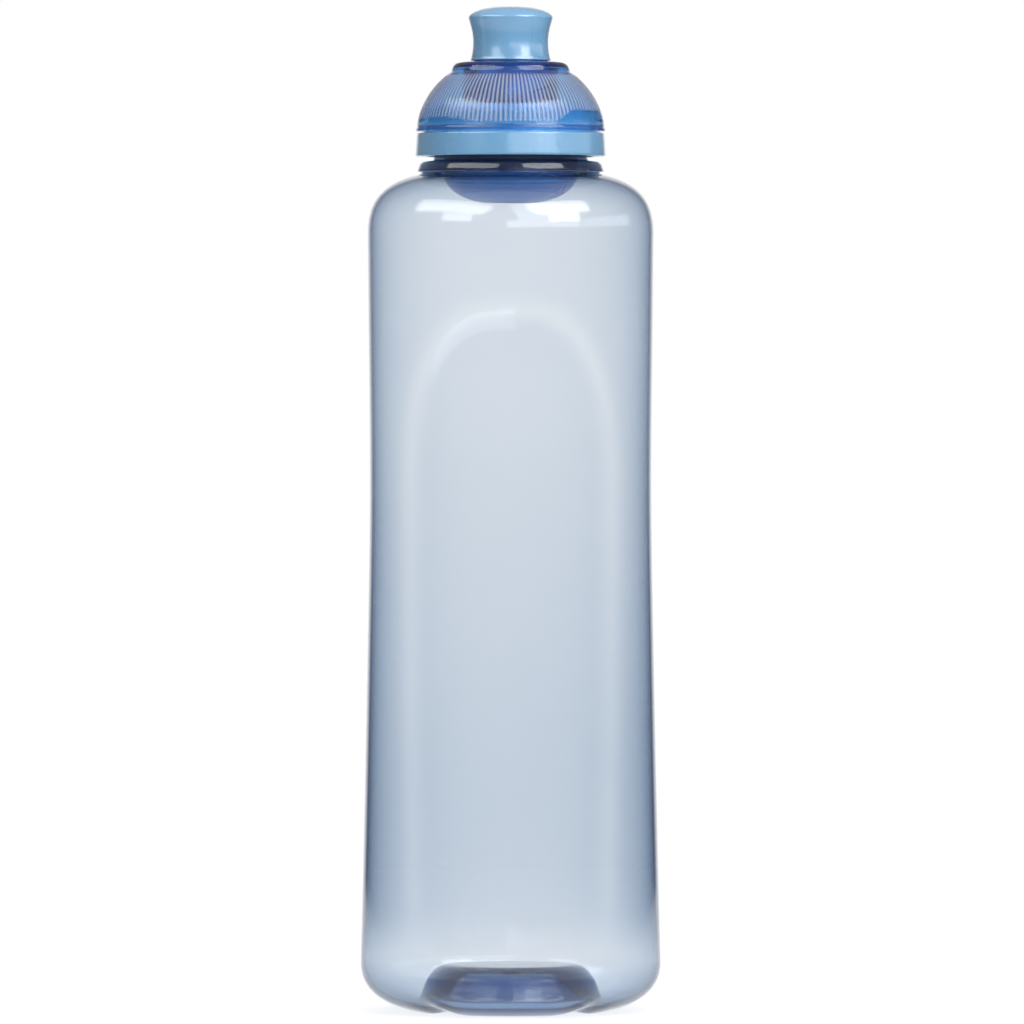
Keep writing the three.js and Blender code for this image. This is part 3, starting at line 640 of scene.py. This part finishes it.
def dome_shape(r, z, tag, angle):
    if tag == "outside":
        groove = (0.5 - 0.5 * math.cos(RIB_COUNT * angle)) * rib_strength(z, angle)
        return r - 0.85 * RIB_DEPTH * groove, z - 0.5 * RIB_DEPTH * groove
    if tag == "lower edge":
        off = abs(angle_between(angle, POINTER_ANGLE)) / POINTER_HALF_ANGLE
        if off < 1:
            drop = POINTER_DEPTH * math.cos(math.pi / 2 * off) ** 2
            return r, z - drop * smoothstep(SLEEVE_RADIUS + 0.4, SLEEVE_RADIUS + 0.7, r)
    if tag == "cam":
        half_angle = (LUG_WIDTH / 2 + CLEARANCE) / LUG_RADIUS
        half_height = LUG_HEIGHT / 2 + CLEARANCE
        for start in LUG_ANGLES:
            turned = (angle - start + half_angle) % FULL_TURN
            if turned < TWIST_ANGLE + 2 * half_angle:
                centre = LUG_CENTRE + (turned - half_angle) / TWIST_ANGLE * TWIST_RISE
                side = 1 - smoothstep(half_height, half_height + 0.5, abs(z - centre))
                if side > 0:
                    return r + (LUG_RADIUS + CLEARANCE + 0.1 - r) * side, z
    return r, z


def make_dome(material):
    outline, columns = dome_outline(), COLUMNS["dome"]
    item = revolved("dome_shell", outline, columns, dome_shape)
    frost = item.data.attributes.new("frost", "FLOAT", "POINT")
    values = [rib_frost(z, tag, FULL_TURN * j / columns)
              for r, z, tag in outline for j in range(columns)]
    frost.data.foreach_set("value", values)
    finish_piece(item, material, "dome", "twist_dome")


# ---- Mouthpiece -----------------------------------------------------------------------------

def spout_outline():
    stem = bezier(16, (SPOUT_FOOT - 0.16, SPOUT_FOOT_HEIGHT + 0.62), (8.58, 216.0),
                  (SPOUT_WAIST, 217.0), (SPOUT_WAIST, SPOUT_WAIST_HEIGHT))
    flare = bezier(16, (SPOUT_WAIST, SPOUT_WAIST_HEIGHT), (SPOUT_WAIST, 220.4), (9.1, 221.8),
                   (SPOUT_LIP, SPOUT_LIP_HEIGHT))
    crown = bezier(28, (SPOUT_LIP, SPOUT_LIP_HEIGHT), (9.6, 224.6), (6.6, 225.9),
                   (SPOUT_HOLE + 0.3, SPOUT_TOP))
    return (
        tagged("skirt foot", [(KEYED_BORE + 0.15, SKIRT_BOTTOM), (7.4, SKIRT_BOTTOM),
                              (SKIRT_RADIUS - 0.2, SKIRT_BOTTOM),
                              (SKIRT_RADIUS - 0.04, SKIRT_BOTTOM + 0.08)])
        + line("skirt", (SKIRT_RADIUS, SKIRT_BOTTOM + 0.25), (SKIRT_RADIUS, 208.2), 0.15)
        + line("skirt", (SKIRT_RADIUS, 208.2), (SKIRT_RADIUS, SPOUT_FOOT_HEIGHT - 0.1), 0.9)
        + tagged("foot", [(SKIRT_RADIUS + 0.02, SPOUT_FOOT_HEIGHT - 0.03), (8.5, SPOUT_FOOT_HEIGHT),
                          (SPOUT_FOOT - 0.12, SPOUT_FOOT_HEIGHT),
                          (SPOUT_FOOT - 0.03, SPOUT_FOOT_HEIGHT + 0.04),
                          (SPOUT_FOOT, SPOUT_FOOT_HEIGHT + 0.14),
                          (SPOUT_FOOT - 0.04, SPOUT_FOOT_HEIGHT + 0.3),
                          (SPOUT_FOOT - 0.11, SPOUT_FOOT_HEIGHT + 0.48)])
        + tagged("stem", stem)
        + tagged("flare", flare[1:])
        + tagged("crown", crown[1:])
        + tagged("hole", [(SPOUT_HOLE + 0.12, SPOUT_TOP - 0.06), (SPOUT_HOLE, SPOUT_TOP - 0.3),
                          (SPOUT_HOLE, 224.6), (SPOUT_HOLE, SPOUT_CEILING + 0.2),
                          (SPOUT_HOLE + 0.1, SPOUT_CEILING), (3.4, SPOUT_CEILING),
                          (SEAL_BORE - 1.6, SPOUT_CEILING), (5.4, 222.2),
                          (SEAL_BORE, SEAL_BORE_TOP)])
        + line("bore", (SEAL_BORE, SEAL_BORE_TOP - 0.2), (SEAL_BORE, SEAL_BORE_BOTTOM), 1.5)
        + tagged("bore", [(SEAL_BORE + 0.05, SEAL_BORE_BOTTOM)])
        + line("keyed", (KEYED_BORE, SEAL_BORE_BOTTOM - 0.02),
               (KEYED_BORE, SKIRT_BOTTOM + 0.15), 0.8)
        + tagged("keyed", [(KEYED_BORE, SKIRT_BOTTOM + 0.15)])
    )


def spout_shape(r, z, tag, angle):
    if tag == "skirt":
        off = abs(nearest_offset(angle, LUG_ANGLES)) * LUG_RADIUS
        side = 1 - smoothstep(LUG_WIDTH / 2 - 0.25, LUG_WIDTH / 2, off)
        height = 1 - smoothstep(LUG_HEIGHT / 2 - 0.2, LUG_HEIGHT / 2, abs(z - LUG_CENTRE))
        return r + (LUG_RADIUS - SKIRT_RADIUS) * side * height, z
    if tag == "keyed":
        off = abs(nearest_offset(angle, KEY_ANGLES)) * r
        slot = 1 - smoothstep(KEY_WIDTH / 2 + 0.2, KEY_WIDTH / 2 + CLEARANCE, off)
        return r + (KEY_RADIUS + CLEARANCE - KEYED_BORE) * slot, z
    return r, z


def make_spout(material):
    item = revolved("drinking_spout", spout_outline(), COLUMNS["mouthpiece"], spout_shape)
    finish_piece(item, material, "spout", "mouthpiece")


# ---- Materials ------------------------------------------------------------------------------

class Nodes:
    """A short way to lay out a node tree. A value is a socket or a constant."""

    def __init__(self, tree):
        self.tree = tree

    def add(self, kind, **inputs):
        node = self.tree.nodes.new(kind)
        for key, value in inputs.items():
            self.feed(node.inputs[key.replace("_", " ")], value)
        return node

    def feed(self, socket, value):
        if isinstance(value, bpy.types.NodeSocket):
            self.tree.links.new(value, socket)
        else:
            socket.default_value = value

    def split(self, vector):
        return self.add("ShaderNodeSeparateXYZ", Vector=vector).outputs

    def math(self, operation, a, b):
        node = self.add("ShaderNodeMath")
        node.operation = operation
        self.feed(node.inputs[0], a)
        self.feed(node.inputs[1], b)
        return node.outputs[0]

    def ranged(self, value, low, high, from_low=0.3, from_high=0.7, curve="LINEAR"):
        """Brings a value from one range to another, and holds it there."""
        node = self.add("ShaderNodeMapRange", Value=value, From_Min=from_low, From_Max=from_high,
                        To_Min=low, To_Max=high)
        node.interpolation_type = curve
        return node.outputs[0]

    def rise(self, value, span):
        """From 0 to 1 over a span in millimetres."""
        return self.ranged(value, 0, 1, span[0] * MM, span[1] * MM)

    def fall(self, value, span):
        """From 1 to 0 over a span in millimetres."""
        return self.ranged(value, 1, 0, span[0] * MM, span[1] * MM)

    def mix(self, share, low, high):
        """Mixes two colours."""
        node = self.add("ShaderNodeMix")
        node.data_type = "RGBA"
        self.feed(node.inputs[0], share)
        for socket, colour in ((node.inputs[6], low), (node.inputs[7], high)):
            self.feed(socket, (*colour, 1) if isinstance(colour, tuple) else colour)
        return node.outputs[2]


class MaterialNodes(Nodes):
    """The nodes of a new material with one Principled shader."""

    def __init__(self, name):
        self.material = bpy.data.materials.new(name)
        self.material.use_nodes = True
        super().__init__(self.material.node_tree)
        self.tree.nodes.clear()
        self.shader = self.add("ShaderNodeBsdfPrincipled")
        self.output = self.add("ShaderNodeOutputMaterial", Surface=self.shader.outputs[0])
        self.place = self.add("ShaderNodeTexCoord").outputs["Object"]

    def shade(self, **inputs):
        """Sets or links the shader's inputs."""
        for key, value in inputs.items():
            self.feed(self.shader.inputs[key.replace("_", " ")], value)

    def stretched(self, x, y, z):
        return self.add("ShaderNodeMapping", Vector=self.place, Scale=(x, y, z)).outputs[0]

    def noise(self, scale, detail=3.0, roughness=0.5, place=None):
        node = self.add("ShaderNodeTexNoise", Vector=place or self.place, Scale=scale,
                        Detail=detail, Roughness=roughness)
        return node.outputs["Fac"]

    def bump(self, height, distance, strength=1.0, below=None):
        """A bumpy normal, on top of another one. The distance is in millimetres."""
        node = self.add("ShaderNodeBump", Height=height, Distance=distance * MM, Strength=strength)
        if below:
            self.feed(node.inputs["Normal"], below)
        return node.outputs[0]


def scratches(nodes, scale):
    """Thin scattered lines, from 0 to 1, in three directions."""
    lines = None
    for x, y, z in ((1, 1, 0.06), (0.08, 1, 1), (1, 0.1, 0.5)):
        grain = nodes.noise(scale, 2.0, 0.5, nodes.stretched(x, y, z))
        thin = nodes.ranged(grain, 0, 1, 0.66, 0.74)
        lines = thin if lines is None else nodes.math("MAXIMUM", lines, thin)
    patches = nodes.ranged(nodes.noise(40.0, 2.0), 0, 1, 0.45, 0.62)
    return nodes.math("MULTIPLY", lines, patches)


def clear_plastic(name, absorb, density, ior, roughness, ripple, zones):
    """Tinted see-through plastic: gloss outside, tint by the thickness that light crosses.
    zones(nodes) gives pairs of a share, from 0 to 1, and the colour that it brings."""
    nodes = MaterialNodes(name)
    marks = scratches(nodes, 900.0)
    cloud = nodes.ranged(nodes.noise(55.0, 4.0, 0.55), *roughness)
    tone = nodes.ranged(nodes.noise(25.0, 3.0), 0, 1)
    tint = nodes.mix(tone, (0.955, 0.97, 0.985), (0.99, 0.995, 1.0))
    for share, deeper in zones(nodes):
        tint = nodes.mix(share, tint, deeper)
    waves = nodes.bump(nodes.noise(60.0, 2.0), ripple)
    nodes.shade(
        Base_Color=tint, IOR=ior, Transmission_Weight=1.0, Coat_Roughness=0.1, Coat_IOR=1.5,
        Roughness=nodes.math("ADD", cloud, nodes.math("MULTIPLY", marks, 0.12)),
        Normal=nodes.bump(nodes.noise(1500.0, 2.0), 0.01, 0.5, waves))
    volume = nodes.add("ShaderNodeVolumeAbsorption", Color=(*absorb, 1), Density=density)
    nodes.feed(nodes.output.inputs["Volume"], volume.outputs[0])
    return nodes.material


def bottle_zones(nodes):
    """The neck with its bead is deeper in colour, partly for its thick plastic and partly as
    painted shade for the dark recess under the collar.
    The middle of the base is deeper in colour as painted shade for the closed hollow under the
    base, and is also less glossy."""
    height = nodes.split(nodes.place)["Z"]
    radius = nodes.add("ShaderNodeVectorMath")
    radius.operation = "LENGTH"
    nodes.feed(radius.inputs[0], nodes.stretched(1, 1, 0))
    neck = nodes.rise(height, NECK_TINT_AND_SHADE_FROM)
    middle = nodes.fall(radius.outputs["Value"], BASE_SHADE_EDGE)
    base = nodes.math("MULTIPLY", nodes.fall(height, BASE_SHADE_TO), middle)
    nodes.shade(Coat_Weight=nodes.ranged(base, 1.0, 0.15, 0, 1))
    # Darker colours: painted shade at the base; at the neck, painted shade on top of the thick
    # plastic's tint.
    return (neck, (0.36, 0.44, 0.56)), (base, (0.34, 0.60, 0.97))


def dome_zones(nodes):
    """The crests of the dome's ribs are frosted, so they let less light through. The band
    between their feet and the rim is darker, as painted shade that dims the lit closure seen
    through it, and is less glossy."""
    height = nodes.split(nodes.place)["Z"]
    above, below = nodes.rise(height, BAND_SHADE_FROM), nodes.fall(height, BAND_SHADE_TO)
    band = nodes.math("MULTIPLY", above, below)
    frost = nodes.add("ShaderNodeAttribute")
    frost.attribute_name = "frost"
    crest = frost.outputs["Fac"]
    nodes.shade(Coat_Weight=nodes.ranged(band, 0.8, 0.2, 0, 1),
                Transmission_Weight=nodes.ranged(crest, 1.0, 0.42, 0, 1))
    # The band's darker colour is painted shade; the crests' colour is their frosted plastic.
    return (band, (0.80, 0.85, 0.85)), (crest, (0.44, 0.56, 0.76))


def solid_plastic(name, low, high, roughness, ior=1.5, coat=0.0):
    """Opaque moulded plastic with faint flow marks, fine grain and scuffs."""
    nodes = MaterialNodes(name)
    flow = nodes.noise(70.0, 4.0, 0.6, nodes.stretched(1, 1, 0.35))
    speckle = nodes.noise(2200.0, 2.0)
    tone = nodes.math("ADD", nodes.ranged(flow, 0, 0.8), nodes.ranged(speckle, 0, 0.2))
    marks = scratches(nodes, 1400.0)
    pointiness = nodes.add("ShaderNodeNewGeometry").outputs["Pointiness"]
    edges = nodes.ranged(pointiness, 0, 0.35, 0.52, 0.62)
    worn = nodes.math("MAXIMUM", edges, nodes.math("MULTIPLY", marks, 0.05))
    lighter = tuple(min(1.0, c * 1.15 + 0.05) for c in high)
    peel = nodes.bump(nodes.noise(700.0, 3.0), 0.003, 0.4)
    cloud = nodes.ranged(flow, *roughness)
    nodes.shade(
        Base_Color=nodes.mix(worn, nodes.mix(tone, low, high), lighter),
        Roughness=nodes.math("ADD", cloud, nodes.math("MULTIPLY", marks, 0.1)),
        Normal=nodes.bump(speckle, 0.006, 0.6, peel),
        IOR=ior, Coat_Weight=coat, Coat_Roughness=0.16, Coat_IOR=1.5)
    return nodes.material


def rubber(name, low, high):
    nodes = MaterialNodes(name)
    cloud = nodes.noise(300.0, 4.0, 0.6)
    nodes.shade(
        Base_Color=nodes.mix(nodes.ranged(cloud, 0, 1), low, high),
        Roughness=nodes.ranged(cloud, 0.42, 0.6),
        Normal=nodes.bump(nodes.noise(1800.0, 3.0), 0.01), IOR=1.41)
    return nodes.material


# ---- Stage, lights and camera ---------------------------------------------------------------

def make_floor():
    """A round sheet of white paper, which glows so that it matches the backdrop."""
    angles = [FULL_TURN * i / FLOOR_COLUMNS for i in range(FLOOR_COLUMNS)]
    rim = [(FLOOR_RADIUS * math.cos(angle), FLOOR_RADIUS * math.sin(angle), 0) for angle in angles]
    item = link("floor", rim, [tuple(range(FLOOR_COLUMNS))])
    nodes = MaterialNodes("floor_paper")
    cloud = nodes.ranged(nodes.noise(3.0, 2.0), 0, 1)
    nodes.shade(Base_Color=nodes.mix(cloud, (0.26, 0.26, 0.26), (0.28, 0.28, 0.28)), Roughness=0.9,
                Emission_Color=(1, 1, 1, 1), Emission_Strength=0.75)
    item.data.materials.append(nodes.material)


def soft_light(name, azimuth, elevation, distance, width, height, brightness, only=None):
    """A soft box facing the closure, with its distance and size in metres. Its azimuth is from
    the front, towards +X, in degrees. It can light only the gloss, or all but the gloss."""
    target = Vector((0, 0, DOME_BOTTOM * MM))
    a, e = math.radians(azimuth), math.radians(elevation)
    away = Vector((math.sin(a) * math.cos(e), -math.cos(a) * math.cos(e), math.sin(e)))
    lamp = bpy.data.lights.new(name, "AREA")
    lamp.shape = "RECTANGLE"
    lamp.size = width
    lamp.size_y = height
    lamp.energy = brightness * math.pi * width * height
    item = bpy.data.objects.new(name, lamp)
    item.location = target + away * distance
    item.rotation_euler = (-away).to_track_quat("-Z", "Y").to_euler()
    item.visible_diffuse = only != "gloss"
    item.visible_glossy = only != "matt"
    bpy.context.scene.collection.objects.link(item)


def make_lights():
    soft_light("box_left", -57, 38, 1.5, 1.8, 0.62, 4.2, "gloss")
    soft_light("box_right", 47, 38, 1.5, 1.3, 0.62, 6.0, "gloss")
    soft_light("low_left", -46, 19, 2.0, 0.9, 0.45, 3.5, "gloss")
    soft_light("low_right", 46, 19, 2.0, 0.9, 0.45, 7.0, "gloss")
    soft_light("low_front", 28, 10.5, 2.5, 3.0, 0.46, 2.3, "gloss")
    soft_light("low_side", 88, 10.5, 2.5, 2.4, 0.46, 1.4, "gloss")
    soft_light("top", 0, 84, 1.3, 1.0, 0.8, 1.6, "matt")
    soft_light("key", 25, 35, 1.5, 1.0, 1.0, 5.0, "matt")


def make_world():
    """A white backdrop, in a room that gives a dimmer light, brighter overhead. What the camera
    sees of it directly, or through the clear plastic, is white all round."""
    world = bpy.data.worlds.new("studio")
    world.use_nodes = True
    nodes = Nodes(world.node_tree)
    path = nodes.add("ShaderNodeLightPath").outputs
    direct = nodes.math("LESS_THAN", path["Diffuse Depth"], 0.5)
    through = nodes.math("MULTIPLY", path["Is Transmission Ray"], direct)
    seen = nodes.math("MAXIMUM", path["Is Camera Ray"], through)
    direction = nodes.split(nodes.add("ShaderNodeTexCoord").outputs["Generated"])
    room = nodes.ranged(direction["Z"], 0.16, 0.6, -0.1, 0.9)
    backdrop = nodes.ranged(direction["Y"], 0, 1, 0.88, 0.96, "SMOOTHSTEP")
    light = nodes.math("MAXIMUM", room, backdrop)
    background = world.node_tree.nodes["Background"].inputs
    nodes.feed(background["Color"], (1, 1, 1, 1))
    nodes.feed(background["Strength"], nodes.math("MAXIMUM", seen, light))
    bpy.context.scene.world = world


def make_camera():
    """Level with the lower half of the bottle, with its whole height in the frame."""
    low, high = (Vector(corner) for corner in cad_box)
    aim = Vector((AIM_ACROSS * MM, 0, low.z + AIM_UP * (high.z - low.z)))
    place = Vector((0, -CAMERA_BACK, CAMERA_HEIGHT)) * MM
    data = bpy.data.cameras.new("camera")
    data.sensor_width = SENSOR_WIDTH
    data.lens = SENSOR_WIDTH * (aim - place).length / (FRAME_WIDTH * MM)
    item = bpy.data.objects.new("camera", data)
    item.location = place
    item.rotation_euler = (aim - place).to_track_quat("-Z", "Y").to_euler()
    bpy.context.scene.collection.objects.link(item)
    bpy.context.scene.camera = item


# ---- The scene ------------------------------------------------------------------------------

bottle_plastic = clear_plastic(
    "bottle_plastic", (0.40, 0.53, 0.67), 260.0, 1.015, (0.05, 0.12), 0.12, bottle_zones)
dome_plastic = clear_plastic(
    "dome_plastic", (0.12, 0.56, 0.82), 860.0, 1.12, (0.04, 0.10), 0.03, dome_zones)
light_blue = solid_plastic(
    "light_blue_plastic", (0.15, 0.37, 0.62), (0.18, 0.415, 0.67), (0.22, 0.32), 1.5, 1.0)
deep_blue = solid_plastic(
    "deep_blue_plastic", (0.055, 0.15, 0.42), (0.07, 0.18, 0.48), (0.25, 0.38), 1.3)
seal_rubber = rubber("seal_rubber", (0.62, 0.65, 0.68), (0.75, 0.77, 0.79))

make_bottle(bottle_plastic)
make_closure(light_blue)
make_plug(deep_blue)
make_seal(seal_rubber)
make_o_ring(seal_rubber)
make_dome(dome_plastic)
make_spout(light_blue)

make_floor()
make_lights()
make_world()
make_camera()
bpy.context.scene.view_settings.view_transform = "Standard"
